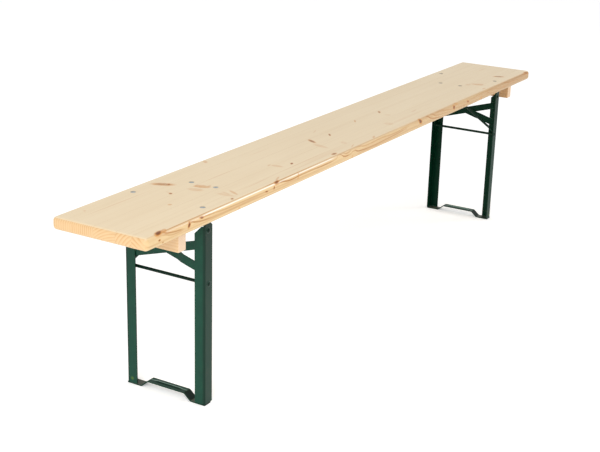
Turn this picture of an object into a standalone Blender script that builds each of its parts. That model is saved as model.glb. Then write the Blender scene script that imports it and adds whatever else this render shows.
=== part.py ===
"""Folding trestle bench: a glued softwood seat on two hinged leg frames of angle steel.

Metres, +Z up, X along the seat. The origin is on the floor, below the middle of the seat.
Both ends are alike, so a piece is drawn once in end coordinates and then placed at each end:
"out" runs from the middle of the seat to its end, "side" runs across it and "up" is Z.
"""

import math

import bmesh
import bpy
from mathutils import Matrix, Vector

# Seat board
SEAT_LENGTH = 2.200
SEAT_WIDTH = 0.262
SEAT_HEIGHT = 0.490
SEAT_THICKNESS = 0.030
SEAT_EDGE_RADIUS = 0.009
SEAT_CORNER_RADIUS = 0.011
RIGHT_EDGE_STAVE = 0.0401
RIGHT_INNER_STAVE = 0.0440
LEFT_INNER_STAVE = 0.0608
LEFT_EDGE_STAVE = 0.0561

# Battens under the seat, outside the legs
BATTEN_END_DISTANCE = 0.1315
BATTEN_THICKNESS = 0.028
BATTEN_DEPTH = 0.0427
BATTEN_SIDE_DISTANCE = 0.0145
BATTEN_EDGE = 0.002
BATTEN_SCREW_SPACING = 0.130
SCREW_RADIUS = 0.0024
SCREW_HEAD_RADIUS = 0.0046
SCREW_HEAD_LAND = 0.0005
SCREW_HEAD_DEPTH = 0.0030
SCREW_TIP = 0.006
SCREW_TIP_RADIUS = 0.0006
SCREW_BITE = 0.018

# Leg frame of bent angle steel
LEG_END_DISTANCE = 0.2324
LEG_SIDE_DISTANCE = 0.0156
LEG_STEEL = 0.003
LEG_BEND_RADIUS = 0.0038
SIDE_FLANGE = 0.030
END_FLANGE = 0.0287
END_FLANGE_CHAMFER = 0.019
END_FLANGE_DROP = 0.007
SIDE_FLANGE_CHAMFER = 0.007
PIVOT_INSET = 0.0141
PIVOT_DROP = 0.022
LEG_TOP_REACH = 0.0175

# Crossed braces
BRACE_DROP = 0.0863
BRACE_END_RISE = 0.0333
BRACE_WIDTH = 0.021
BRACE_STEEL = 0.003
BRACE_END_GAP = 0.002
JOGGLE_FLAT = 0.0755
JOGGLE_RUN = 0.014
JOGGLE_RADIUS = 0.010

# Foot strip
FOOT_STEEL = 0.003
FOOT_WIDTH = 0.0245
FOOT_PAD = 0.0415
FOOT_RAMP = 0.019
FOOT_RISE = 0.0165
FOOT_BEND_RADIUS = 0.007
FOOT_BEAD_WIDTH = 0.011
FOOT_BEAD_HEIGHT = 0.0022
FOOT_BEAD_END = 0.012
FOOT_BEAD_SHARES = (0.0, 0.12, 0.3, 0.5, 0.7, 0.88, 1.0)

# Cross rod that carries the strut
ROD_RADIUS = 0.004
ROD_DROP = 0.1317
ROD_INSET = 0.0165
ROD_HEAD_RADIUS = 0.0060
ROD_HEAD_HEIGHT = 0.0020

# Hinge brackets, with their bolts and pivot rivets
BRACKET_STEEL = 0.003
BRACKET_REACH = 0.026
BRACKET_BEND_RADIUS = 0.0035
RIVET_RADIUS = 0.003
RIVET_HEAD_RADIUS = 0.0060
RIVET_HEAD_HEIGHT = 0.0030
BOLT_RADIUS = 0.003
BOLT_HEAD_RADIUS = 0.0065
BOLT_HEAD_LAND = 0.0006
BOLT_END_LENGTH = 0.002
NUT_WIDTH = 0.010
NUT_HEIGHT = 0.0045
HINGE_BOLT_INSET = 0.0159

# Strut: one round bar, bent to a trapezium, with upright necks and flattened eyes on the cross rod
STRUT_RADIUS = 0.004
STRUT_BAR_HALF = 0.0265
STRUT_CORNER_RADIUS = 0.008
STRUT_NECK = 0.0105
STRUT_NECK_RADIUS = 0.010
EYE_THICKNESS = 0.0034
EYE_WIDTH = 0.0140
EYE_LENGTH = 0.010
EYE_BLEND = 0.014
STRUT_REACH = 0.1293
CATCH_DROP = 0.0195

# Catch plate, whose ears hold the strut's bar
CATCH_STEEL = 0.0025
CATCH_BOLT_INSET = 0.0118
CATCH_BOLT_SIDE = 0.0355
CATCH_PLATE_INNER = 0.0095
CATCH_PLATE_OUTER = 0.0406
CATCH_PLATE_MARGIN = 0.0125
CATCH_PLATE_CORNER = 0.006
EAR_SIDE = 0.0185
EAR_REACH = 0.010
EAR_WALL = 0.0045
EAR_WALL_DROP = 0.0035
EAR_OVERLAP = 0.001
SLOT_CLEARANCE = 0.0006

# Latch lever, which hooks over the strut's bar, and its wound spring
LATCH_STEEL = 0.0015
LATCH_HALF_WIDTH = 0.012
LATCH_PIN_INSET = 0.022
LATCH_PIN_RADIUS = 0.002
LATCH_PIN_HEAD_RADIUS = 0.0034
LATCH_PIN_HEAD_HEIGHT = 0.0012
LATCH_BAR_GAP = 0.0005
HOOK_LENGTH = 0.0050
HOOK_BEND_RADIUS = 0.0014
TAB_LENGTH = 0.030
TAB_LIP = 0.0045
SPRING_WIRE_RADIUS = 0.0004
SPRING_PITCH = 0.0015
SPRING_ARM = 0.009
SPRING_ARM_FOOT = 0.005
SPRING_TAIL = 0.0055

# Clearances
FIT_GAP = 0.0003
HEAD_SINK = 0.0002
CUT_OVERRUN = 0.010

# Angles and counts
HOOK_ANGLE = math.radians(55)
TAB_LIP_ANGLE = math.radians(40)
CURL_END_ANGLE = math.radians(200)
FOLD_ANGLE = math.radians(90)
SMOOTH_ANGLE = math.radians(40)
NUT_SIDES = 6
SPRING_TURNS = 3
CURL_POINTS = 10
CURL_STEPS = 14
ARC_STEPS = 5
BEND_STEPS = 3
ROUND_STEPS = 18
PIN_STEPS = 16
WIRE_SIDES = 6
STRUT_SIDES = 12
EYE_SQUARENESS = 0.45
EYE_RIM_SHARES = (-0.46, -0.38, -0.25, 0.0)
EYE_BLEND_SHARES = (0.33, 0.67, 1.0)
RIVET_DOME_SHARES = ((0.3, 1.0), (0.75, 0.72), (1.0, 0.12), (1.0, 0.0))

# Places that follow from the sizes above
STAVE_EDGES = [
    -SEAT_WIDTH / 2,
    -SEAT_WIDTH / 2 + RIGHT_EDGE_STAVE,
    -SEAT_WIDTH / 2 + RIGHT_EDGE_STAVE + RIGHT_INNER_STAVE,
    SEAT_WIDTH / 2 - LEFT_EDGE_STAVE - LEFT_INNER_STAVE,
    SEAT_WIDTH / 2 - LEFT_EDGE_STAVE,
    SEAT_WIDTH / 2,
]
SEAT_UNDERSIDE = SEAT_HEIGHT - SEAT_THICKNESS
BATTEN_LENGTH = SEAT_WIDTH - 2 * BATTEN_SIDE_DISTANCE
LEG_FACE = SEAT_LENGTH / 2 - LEG_END_DISTANCE
HALF_WIDTH = SEAT_WIDTH / 2 - LEG_SIDE_DISTANCE
PIVOT_OUT = LEG_FACE - PIVOT_INSET
PIVOT_UP = SEAT_UNDERSIDE - PIVOT_DROP
LEG_TOP = PIVOT_UP + LEG_TOP_REACH
END_FLANGE_TOP = LEG_TOP - END_FLANGE_DROP
INNER_FACE = HALF_WIDTH - LEG_STEEL
HINGE_BOLT_SIDE = HALF_WIDTH - HINGE_BOLT_INSET
BRACE_HEIGHT = SEAT_UNDERSIDE - BRACE_DROP
ROD_OUT = LEG_FACE - ROD_INSET
ROD_HEIGHT = PIVOT_UP - ROD_DROP
CATCH_DISTANCE = ROD_OUT - STRUT_REACH
CATCH_BOLT_DISTANCE = CATCH_DISTANCE - CATCH_BOLT_INSET
LATCH_PIN_DISTANCE = CATCH_DISTANCE + LATCH_PIN_INSET
BAR_UP = SEAT_UNDERSIDE - CATCH_DROP
PLATE_BOTTOM = SEAT_UNDERSIDE - FIT_GAP - CATCH_STEEL
LATCH_UP = BAR_UP + STRUT_RADIUS + LATCH_BAR_GAP + LATCH_STEEL / 2
CURL_RADIUS = LATCH_PIN_RADIUS + FIT_GAP + LATCH_STEEL / 2
PIN_UP = LATCH_UP + CURL_RADIUS
STRUT_LENGTH = math.hypot(ROD_OUT - CATCH_DISTANCE, BAR_UP - ROD_HEIGHT)
STRUT_TILT = math.atan2(BAR_UP - ROD_HEIGHT, ROD_OUT - CATCH_DISTANCE)


def slot_angle():
    """How far below level the bar sets off when the leg starts to fold."""
    turn_share = STRUT_TILT / FOLD_ANGLE
    inward = (PIVOT_UP - ROD_HEIGHT) + STRUT_LENGTH * turn_share * math.sin(STRUT_TILT)
    down = STRUT_LENGTH * turn_share * math.cos(STRUT_TILT) - (PIVOT_OUT - ROD_OUT)
    return math.atan2(down, inward)


def clear_scene():
    for old in list(bpy.data.objects):
        bpy.data.objects.remove(old, do_unlink=True)


def material(name, color, roughness, metallic):
    made = bpy.data.materials.new(name)
    made.use_nodes = True
    shader = made.node_tree.nodes["Principled BSDF"]
    shader.inputs["Base Color"].default_value = (*color, 1.0)
    shader.inputs["Roughness"].default_value = roughness
    shader.inputs["Metallic"].default_value = metallic
    made.diffuse_color = (*color, 1.0)
    return made


# Outlines in two dimensions


def arc(center, radius, start, end, steps):
    points = []
    for i in range(steps + 1):
        angle = start + (end - start) * i / steps
        points.append(Vector(center) + radius * Vector((math.cos(angle), math.sin(angle))))
    return points


def fillet(before, corner, after, radius, steps=ARC_STEPS):
    """An arc that rounds a corner between two straight runs, on a plane or in space."""
    to_before = (before - corner).normalized()
    to_after = (after - corner).normalized()
    half = to_before.angle(to_after) / 2
    center = corner + (to_before + to_after).normalized() * (radius / math.sin(half))
    first = corner + to_before * (radius / math.tan(half)) - center
    last = corner + to_after * (radius / math.tan(half)) - center
    turn = first.angle(last)
    points = []
    for i in range(steps + 1):
        from_first = math.sin(turn * (steps - i) / steps) / math.sin(turn)
        from_last = math.sin(turn * i / steps) / math.sin(turn)
        points.append(center + first * from_first + last * from_last)
    return points


def rounded(points, radii, closed=True, steps=ARC_STEPS):
    """The outline with its corners rounded; a corner with no radius stays sharp."""
    corners = [Vector(point) for point in points]
    count = len(corners)
    outline = []
    for i, corner in enumerate(corners):
        inside = closed or 0 < i < count - 1
        if radii[i] and inside:
            outline += fillet(corners[i - 1], corner, corners[(i + 1) % count], radii[i], steps)
        else:
            outline.append(corner)
    return outline


def tangents(path):
    """The direction at each point of a path, halfway between the runs that meet there."""
    runs = [(b - a).normalized() for a, b in zip(path, path[1:])]
    inner = [(a + b).normalized() for a, b in zip(runs, runs[1:])]
    return [runs[0], *inner, runs[-1]]


def strip_outline(path, thickness):
    """The outline of a strip of even thickness that follows a bent path."""
    runs = [(b - a).normalized() for a, b in zip(path, path[1:])]
    left, right = [], []
    for i, (point, along) in enumerate(zip(path, tangents(path))):
        spread = thickness / 2 / along.dot(runs[min(i, len(runs) - 1)])
        across = Vector((-along.y, along.x)) * spread
        left.append(point + across)
        right.append(point - across)
    return left + right[::-1]


# Solids


def on_plane(plane, a, b, depth):
    """A point of an outline in end coordinates, with the depth along the third one."""
    if plane == "out_side":
        return Vector((a, b, depth))
    if plane == "out_up":
        return Vector((a, depth, b))
    return Vector((depth, a, b))


def prism(outline, start, end, plane):
    """An outline drawn out from start to end, square to its plane."""
    bm = bmesh.new()
    lower = [bm.verts.new(on_plane(plane, point[0], point[1], start)) for point in outline]
    upper = [bm.verts.new(on_plane(plane, point[0], point[1], end)) for point in outline]
    bm.faces.new(lower)
    bm.faces.new(upper)
    for i in range(len(outline)):
        after = (i + 1) % len(outline)
        bm.faces.new((lower[i], lower[after], upper[after], upper[i]))
    bmesh.ops.recalc_face_normals(bm, faces=bm.faces)
    return bm


def skin(bm, rings):
    """Joins closed rings of as many points each into one body with flat ends."""
    for ring, after in zip(rings, rings[1:]):
        for i in range(len(ring)):
            j = (i + 1) % len(ring)
            bm.faces.new((ring[i], ring[j], after[j], after[i]))
    bm.faces.new(rings[0])
    bm.faces.new(rings[-1])
    bmesh.ops.recalc_face_normals(bm, faces=bm.faces)


def turned(profile, center, axis, steps=ROUND_STEPS):
    """A turned body. The profile lists (radius, place along the axis), with no radius of zero."""
    bm = bmesh.new()
    rings = []
    for radius, along in profile:
        ring = []
        for i in range(steps):
            angle = 2 * math.pi * i / steps
            a, b = radius * math.cos(angle), radius * math.sin(angle)
            offset = (a, b, along) if axis == "up" else (a, along, b)
            ring.append(bm.verts.new(Vector(center) + Vector(offset)))
        rings.append(ring)
    skin(bm, rings)
    return bm


def cut_plane(bm, point, normal):
    """Removes what lies beyond a plane and closes the cut."""
    geometry = bm.verts[:] + bm.edges[:] + bm.faces[:]
    bmesh.ops.bisect_plane(bm, geom=geometry, plane_co=point, plane_no=normal, clear_outer=True)
    rim = [edge for edge in bm.edges if edge.is_boundary]
    bmesh.ops.edgenet_fill(bm, edges=rim)
    bmesh.ops.recalc_face_normals(bm, faces=bm.faces)


def placed(bm, end, side=1):
    """Turns a body in end coordinates into the one at this end and side."""
    bmesh.ops.transform(bm, matrix=Matrix.Diagonal((end, side, 1, 1)), verts=bm.verts)
    bmesh.ops.recalc_face_normals(bm, faces=bm.faces)
    return bm


def piece(name, bm, finish, pivot=None, smooth=False):
    """An object from a body in world places, hung on its pivot if it moves."""
    if pivot:
        bmesh.ops.translate(bm, verts=bm.verts, vec=-pivot.matrix_world.translation)
    mesh = bpy.data.meshes.new(name)
    bm.to_mesh(mesh)
    bm.free()
    mesh.materials.append(finish)
    if smooth:
        mesh.shade_smooth()
        mesh.set_sharp_from_angle(angle=SMOOTH_ANGLE)
    made = bpy.data.objects.new(name, mesh)
    bpy.context.scene.collection.objects.link(made)
    made.parent = pivot
    return made


def cutter(name, bm):
    made = piece(name, bm, CUTTER_FINISH)
    made.hide_render = True
    made.display_type = "WIRE"
    return made


def combine(target, other, operation="DIFFERENCE"):
    modifier = target.modifiers.new(other.name, "BOOLEAN")
    modifier.operation = operation
    modifier.object = other


def pivot_at(name, place, parent=None):
    """An empty on a joint's axis."""
    made = bpy.data.objects.new(name, None)
    bpy.context.scene.collection.objects.link(made)
    made.parent = parent
    made.location = Vector(place) - (parent.matrix_world.translation if parent else Vector())
    bpy.context.view_layer.update()
    return made


# Seat


def seat_board():
    """The whole board: flat faces, rounded edges all round and rounded corners."""
    bm = bmesh.new()
    rings = []
    for up_sign, angles in ((-1, range(ARC_STEPS + 1)), (1, range(ARC_STEPS, -1, -1))):
        for i in angles:
            angle = math.pi / 2 * (1 - i / ARC_STEPS)
            inset = SEAT_EDGE_RADIUS * (1 - math.cos(angle))
            up = SEAT_THICKNESS / 2 - SEAT_EDGE_RADIUS * (1 - math.sin(angle))
            half_x = SEAT_LENGTH / 2 - inset
            half_y = SEAT_WIDTH / 2 - inset
            corners = ((half_x, half_y), (-half_x, half_y), (-half_x, -half_y), (half_x, -half_y))
            outline = rounded(corners, [SEAT_CORNER_RADIUS - inset] * len(corners))
            height = SEAT_HEIGHT - SEAT_THICKNESS / 2 + up_sign * up
            rings.append([bm.verts.new((*point, height)) for point in outline])
    skin(bm, rings)
    return bm


def staves():
    """The board's glued staves, from the right edge to the left one."""
    made = []
    for number, (low, high) in enumerate(zip(STAVE_EDGES, STAVE_EDGES[1:]), start=1):
        bm = seat_board()
        if low > STAVE_EDGES[0]:
            cut_plane(bm, (0, low + FIT_GAP / 2, 0), (0, -1, 0))
        if high < STAVE_EDGES[-1]:
            cut_plane(bm, (0, high - FIT_GAP / 2, 0), (0, 1, 0))
        made.append(piece(f"seat_stave_{number}", bm, WOOD))
    return made


def bolt_profile(extra=0.0, overrun=0.0):
    """A countersunk bolt from its top down; the extra is the clearance round its hole."""
    top = SEAT_HEIGHT - HEAD_SINK
    cone_foot = top - BOLT_HEAD_LAND - (BOLT_HEAD_RADIUS - BOLT_RADIUS)
    end = SEAT_UNDERSIDE - FIT_GAP - BRACKET_STEEL - FIT_GAP - NUT_HEIGHT - BOLT_END_LENGTH
    return [
        (BOLT_HEAD_RADIUS + extra, top + overrun),
        (BOLT_HEAD_RADIUS + extra, top - BOLT_HEAD_LAND - extra),
        (BOLT_RADIUS + extra, cone_foot - extra),
        (BOLT_RADIUS + extra, end - overrun),
    ]


def hex_nut(out, side, top):
    corner_radius = NUT_WIDTH / 2 / math.cos(math.pi / NUT_SIDES)
    outline = arc((out, side), corner_radius, 0, 2 * math.pi, NUT_SIDES)[:-1]
    return prism(outline, top - NUT_HEIGHT, top, "out_side")


def bolt_set(name, end, side_sign, out, side, holder, holder_steel, seat_staves):
    """A bolt down through the seat and its metal holder, with its nut."""
    center = (end * out, side_sign * side, 0)
    bore = cutter(f"{name}_bore", turned(bolt_profile(FIT_GAP, CUT_OVERRUN), center, "up"))
    piece(f"{name}_bolt", turned(bolt_profile(), center, "up"), ZINC, smooth=True)
    nut_top = SEAT_UNDERSIDE - FIT_GAP - holder_steel - FIT_GAP
    nut = piece(f"{name}_nut", hex_nut(center[0], center[1], nut_top), ZINC)
    for target in (*seat_staves, holder, nut):
        combine(target, bore)


def stave_at(seat_staves, y):
    """The staves that a hole at this place across the seat goes through."""
    reach = BOLT_HEAD_RADIUS + FIT_GAP
    places = zip(seat_staves, STAVE_EDGES, STAVE_EDGES[1:])
    return [stave for stave, low, high in places if low - reach < y < high + reach]


def batten(end_name, end, seat_staves):
    inner = SEAT_LENGTH / 2 - BATTEN_END_DISTANCE - BATTEN_THICKNESS
    top = SEAT_UNDERSIDE - FIT_GAP
    corners = (
        (inner, top - BATTEN_DEPTH),
        (inner + BATTEN_THICKNESS, top - BATTEN_DEPTH),
        (inner + BATTEN_THICKNESS, top),
        (inner, top),
    )
    body = placed(prism(corners, -BATTEN_LENGTH / 2, BATTEN_LENGTH / 2, "out_up"), end)
    made = piece(f"{end_name}_batten", body, WOOD)
    bevel = made.modifiers.new("eased_edges", "BEVEL")
    bevel.width = BATTEN_EDGE
    bevel.segments = 2
    middle = inner + BATTEN_THICKNESS / 2
    bottom = top - BATTEN_DEPTH
    for side_name, side in SIDES:
        center = (end * middle, side * BATTEN_SCREW_SPACING / 2, 0)
        name = f"{end_name}_{side_name}_batten_screw"
        bore = cutter(f"{name}_bore", turned(screw_profile(bottom, FIT_GAP, CUT_OVERRUN), center, "up"))
        piece(name, turned(screw_profile(bottom), center, "up"), ZINC, smooth=True)
        for target in (made, *stave_at(seat_staves, center[1])):
            combine(target, bore)


def screw_profile(bottom, extra=0.0, overrun=0.0):
    """A countersunk wood screw driven up through the batten into the seat."""
    head = bottom + HEAD_SINK
    tip = SEAT_UNDERSIDE + SCREW_BITE
    return [
        (SCREW_HEAD_RADIUS + extra, head - overrun),
        (SCREW_HEAD_RADIUS + extra, head + SCREW_HEAD_LAND + extra),
        (SCREW_RADIUS + extra, head + SCREW_HEAD_DEPTH + extra),
        (SCREW_RADIUS + extra, tip - SCREW_TIP),
        (SCREW_TIP_RADIUS + extra, tip + extra),
    ]


# Leg frame


def upright():
    """One angle of the leg frame, with its corner at the outer side of the leg's face."""
    corners = (
        (LEG_FACE - SIDE_FLANGE, HALF_WIDTH),
        (LEG_FACE, HALF_WIDTH),
        (LEG_FACE, HALF_WIDTH - END_FLANGE),
        (LEG_FACE - LEG_STEEL, HALF_WIDTH - END_FLANGE),
        (LEG_FACE - LEG_STEEL, INNER_FACE),
        (LEG_FACE - SIDE_FLANGE, INNER_FACE),
    )
    inner_radius = LEG_BEND_RADIUS - LEG_STEEL
    outline = rounded(corners, (0, LEG_BEND_RADIUS, 0, 0, inner_radius, 0))
    bm = prism(outline, FOOT_STEEL + FIT_GAP, LEG_TOP, "out_side")
    flange_corner = (LEG_FACE, HALF_WIDTH - END_FLANGE + END_FLANGE_CHAMFER, END_FLANGE_TOP)
    cut_plane(bm, flange_corner, Vector((0, -1, 1)))
    side_corner = (LEG_FACE - SIDE_FLANGE + SIDE_FLANGE_CHAMFER, HALF_WIDTH, LEG_TOP)
    cut_plane(bm, side_corner, Vector((-1, 0, 1)))
    return bm


def flange_notch():
    """What is cut off above the end flange, which ends lower than the side flange."""
    bend = HALF_WIDTH - LEG_BEND_RADIUS - FIT_GAP
    edge = HALF_WIDTH - END_FLANGE - CUT_OVERRUN
    above = LEG_TOP + CUT_OVERRUN
    corners = ((edge, END_FLANGE_TOP), (bend, END_FLANGE_TOP), (bend, above), (edge, above))
    return prism(corners, LEG_FACE - SIDE_FLANGE - CUT_OVERRUN, LEG_FACE + CUT_OVERRUN, "side_up")


def brace(rise_sign, joggled):
    """A flat bar between the uprights; the inner one is set in where it passes the other."""
    end = INNER_FACE - BRACE_END_GAP
    tilt = math.atan2(rise_sign * BRACE_END_RISE, INNER_FACE)
    half = end / math.cos(tilt) + BRACE_WIDTH
    face = LEG_FACE - LEG_STEEL - FIT_GAP - BRACE_STEEL / 2
    step = (BRACE_STEEL + FIT_GAP) if joggled else 0.0
    if joggled:
        flat = JOGGLE_FLAT / 2
        run = flat + JOGGLE_RUN
        places = [(-half, 0), (-run, 0), (-flat, -step), (flat, -step), (run, 0), (half, 0)]
        radii = (0, JOGGLE_RADIUS, JOGGLE_RADIUS, JOGGLE_RADIUS, JOGGLE_RADIUS, 0)
        path = rounded([Vector(place) for place in places], radii, closed=False, steps=BEND_STEPS)
    else:
        path = [Vector((-half, 0)), Vector((half, 0))]
    outline = [(along, face + inset) for along, inset in strip_outline(path, BRACE_STEEL)]
    bm = bmesh.new()
    rings = []
    for up in (-BRACE_WIDTH / 2, BRACE_WIDTH / 2):
        rings.append([bm.verts.new((inset, along, up)) for along, inset in outline])
    skin(bm, rings)
    bmesh.ops.rotate(bm, verts=bm.verts, cent=(0, 0, 0), matrix=Matrix.Rotation(tilt, 3, "X"))
    bmesh.ops.translate(bm, verts=bm.verts, vec=(0, 0, BRACE_HEIGHT))
    for side in (1, -1):
        cut_plane(bm, (0, side * end, 0), (0, side, 0))
    return bm


def foot_path():
    """The strip's middle line across the leg: pad, ramp, raised middle, ramp and pad."""
    low = FOOT_STEEL / 2
    high = low + FOOT_RISE
    pad = HALF_WIDTH - FOOT_PAD
    crest = pad - FOOT_RAMP
    corners = [(HALF_WIDTH, low), (pad, low), (crest, high), (-crest, high), (-pad, low), (-HALF_WIDTH, low)]
    radii = (0, FOOT_BEND_RADIUS, FOOT_BEND_RADIUS, FOOT_BEND_RADIUS, FOOT_BEND_RADIUS, 0)
    path = rounded(corners, radii, closed=False)
    bead_ends = [Vector((sign * (crest - FOOT_BEAD_END), high)) for sign in (1, -1)]
    bead_starts = [Vector((sign * (crest - 2 * FOOT_BEAD_END), high)) for sign in (1, -1)]
    return sorted([*path, *bead_ends, *bead_starts], key=lambda point: -point.x), crest


def foot_strip():
    """A flat strip bent over a raised middle, which is stiffened by a pressed bead."""
    path, crest = foot_path()
    inner = LEG_FACE - FOOT_WIDTH
    bead_start = inner + (FOOT_WIDTH - FOOT_BEAD_WIDTH) / 2
    columns = [inner, *[bead_start + FOOT_BEAD_WIDTH * share for share in FOOT_BEAD_SHARES], LEG_FACE]
    bead_shape = [0.0, *[math.sin(math.pi * share) ** 2 for share in FOOT_BEAD_SHARES], 0.0]
    bm = bmesh.new()
    rings = []
    for point, along in zip(path, tangents(path)):
        normal = Vector((along.y, -along.x))
        reach = (crest - FOOT_BEAD_END - abs(point.x)) / FOOT_BEAD_END
        height = FOOT_BEAD_HEIGHT * min(max(reach, 0.0), 1.0)
        top, bottom = [], []
        for out, shape in zip(columns, bead_shape):
            middle = point + normal * height * shape
            for row, sign in ((top, 1), (bottom, -1)):
                spot = middle + normal * sign * FOOT_STEEL / 2
                row.append(bm.verts.new((out, spot.x, spot.y)))
        rings.append(top + bottom[::-1])
    skin(bm, rings)
    return bm


def domed(radius, height, face, sign, shank):
    """Half of a rivet, from its dome to the face that it sits on, along one direction."""
    head = [(radius * out, face + sign * height * up) for out, up in RIVET_DOME_SHARES]
    return [*head, (shank, face)]


def rivet(radius, head_radius, head_height, inner_face, outer_face):
    inner = domed(head_radius, head_height, inner_face, -1, radius)
    outer = domed(head_radius, head_height, outer_face, 1, radius)
    return [*inner, *outer[::-1]]


def leg(end_name, end, pivot, rod_bore, pivot_bore):
    for side_name, side in SIDES:
        body = placed(upright(), end, side)
        post = piece(f"{end_name}_{side_name}_upright", body, PAINT, pivot, smooth=True)
        notch = placed(flange_notch(), end, side)
        combine(post, cutter(f"{end_name}_{side_name}_notch", notch))
        combine(post, pivot_bore)
        combine(post, rod_bore)
    piece(f"{end_name}_outer_brace", placed(brace(-1, False), end), PAINT, pivot)
    piece(f"{end_name}_inner_brace", placed(brace(1, True), end), PAINT, pivot, smooth=True)
    piece(f"{end_name}_foot_strip", placed(foot_strip(), end), PAINT, pivot, smooth=True)
    rod_face = HALF_WIDTH + FIT_GAP
    rod = rivet(ROD_RADIUS, ROD_HEAD_RADIUS, ROD_HEAD_HEIGHT, -rod_face, rod_face)
    rod_body = turned(rod, (end * ROD_OUT, 0, ROD_HEIGHT), "side")
    piece(f"{end_name}_cross_rod", rod_body, PAINT, pivot, smooth=True)


def hinge(end_name, side_name, end, side, leg_pivot, pivot_bore, seat_staves):
    """A bent bracket under the seat, its bolt and the rivet that the leg turns on."""
    outer = INNER_FACE - FIT_GAP
    middle = outer - BRACKET_STEEL / 2
    top = SEAT_UNDERSIDE - FIT_GAP - BRACKET_STEEL / 2
    half = PIVOT_INSET - LEG_STEEL - FIT_GAP
    corners = [Vector((outer - BRACKET_REACH, top)), Vector((middle, top)), Vector((middle, PIVOT_UP - half))]
    path = rounded(corners, (0, BRACKET_BEND_RADIUS, 0), closed=False)
    outline = strip_outline(path, BRACKET_STEEL)
    body = placed(prism(outline, PIVOT_OUT - half, PIVOT_OUT + half, "side_up"), end, side)
    bracket = piece(f"{end_name}_{side_name}_hinge_bracket", body, PAINT, smooth=True)
    arch = [(PIVOT_OUT + half, SEAT_UNDERSIDE), (PIVOT_OUT - half, SEAT_UNDERSIDE)]
    arch += arc((PIVOT_OUT, PIVOT_UP), half, math.pi, 2 * math.pi, 2 * ARC_STEPS)
    keep = prism(arch, 0, HALF_WIDTH, "out_up")
    shape = cutter(f"{end_name}_{side_name}_bracket_shape", placed(keep, end, side))
    combine(bracket, shape, "INTERSECT")
    combine(bracket, pivot_bore)
    through = stave_at(seat_staves, side * HINGE_BOLT_SIDE)
    name = f"{end_name}_{side_name}_hinge"
    bolt_set(name, end, side, PIVOT_OUT, HINGE_BOLT_SIDE, bracket, BRACKET_STEEL, through)
    inner_face = outer - BRACKET_STEEL - FIT_GAP
    profile = rivet(RIVET_RADIUS, RIVET_HEAD_RADIUS, RIVET_HEAD_HEIGHT, inner_face, HALF_WIDTH + FIT_GAP)
    body = placed(turned(profile, (PIVOT_OUT, 0, PIVOT_UP), "side"), end, side)
    piece(f"{end_name}_{side_name}_pivot_rivet", body, PAINT, leg_pivot, smooth=True)


# Strut


def strut_arm():
    """One arm's middle line from its eye to the bar's middle, as inward, side and up from the rod."""
    eye_side = INNER_FACE - FIT_GAP - EYE_THICKNESS / 2
    rise = BAR_UP - ROD_HEIGHT
    corners = [
        (0, eye_side, 0),
        (0, eye_side, STRUT_NECK),
        (STRUT_REACH, STRUT_BAR_HALF, rise),
        (STRUT_REACH, 0, rise),
    ]
    radii = (0, STRUT_NECK_RADIUS, STRUT_CORNER_RADIUS, 0)
    path = rounded(corners, radii, closed=False)
    rim = [Vector((0, eye_side, EYE_WIDTH * share)) for share in EYE_RIM_SHARES]
    neck = path[: ARC_STEPS + 2]
    bar = path[ARC_STEPS + 2 :]
    straight = (bar[0] - neck[-1]).normalized()
    left = EYE_LENGTH + EYE_BLEND - neck[-1].z
    blend = [neck[-1] + straight * left * share for share in EYE_BLEND_SHARES]
    return rim + neck[1:] + blend + bar


def strut_section(along):
    """Half thickness, half width and squareness of the bar at a distance along its arm."""
    flat = min(max((along - EYE_LENGTH) / EYE_BLEND, 0.0), 1.0)
    half_width = EYE_WIDTH / 2 + (STRUT_RADIUS - EYE_WIDTH / 2) * flat
    if along < 0:
        half_width = math.sqrt((EYE_WIDTH / 2) ** 2 - along**2)
    half_thickness = EYE_THICKNESS / 2 + (STRUT_RADIUS - EYE_THICKNESS / 2) * flat
    return half_thickness, half_width, EYE_SQUARENESS + (1 - EYE_SQUARENESS) * flat


def strut():
    """Both arms and the bar: the second arm is the first one's mirror image."""
    arm = strut_arm()
    sides = tangents([*arm, arm[-1] - Vector((0, STRUT_RADIUS, 0))])[:-1]
    bm = bmesh.new()
    rings, mirrored = [], []
    flat = Vector((0, 1, 0))
    along_arm = arm[0].z
    for i, (point, along) in enumerate(zip(arm[:-1], sides)):
        if i:
            along_arm += (point - arm[i - 1]).length
        flat = (flat - along * flat.dot(along)).normalized()
        wide = along.cross(flat)
        half_thickness, half_width, squareness = strut_section(along_arm)
        ring, mirror = [], []
        for k in range(STRUT_SIDES):
            angle = 2 * math.pi * k / STRUT_SIDES
            a = math.copysign(abs(math.cos(angle)) ** squareness, math.cos(angle))
            b = math.copysign(abs(math.sin(angle)) ** squareness, math.sin(angle))
            spot = point + flat * half_thickness * a + wide * half_width * b
            ring.append(bm.verts.new((ROD_OUT - spot.x, spot.y, ROD_HEIGHT + spot.z)))
            mirror.append(bm.verts.new((ROD_OUT - spot.x, -spot.y, ROD_HEIGHT + spot.z)))
        rings.append(ring)
        mirrored.append(mirror)
    skin(bm, rings + mirrored[::-1])
    return bm


# Catch and latch


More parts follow.
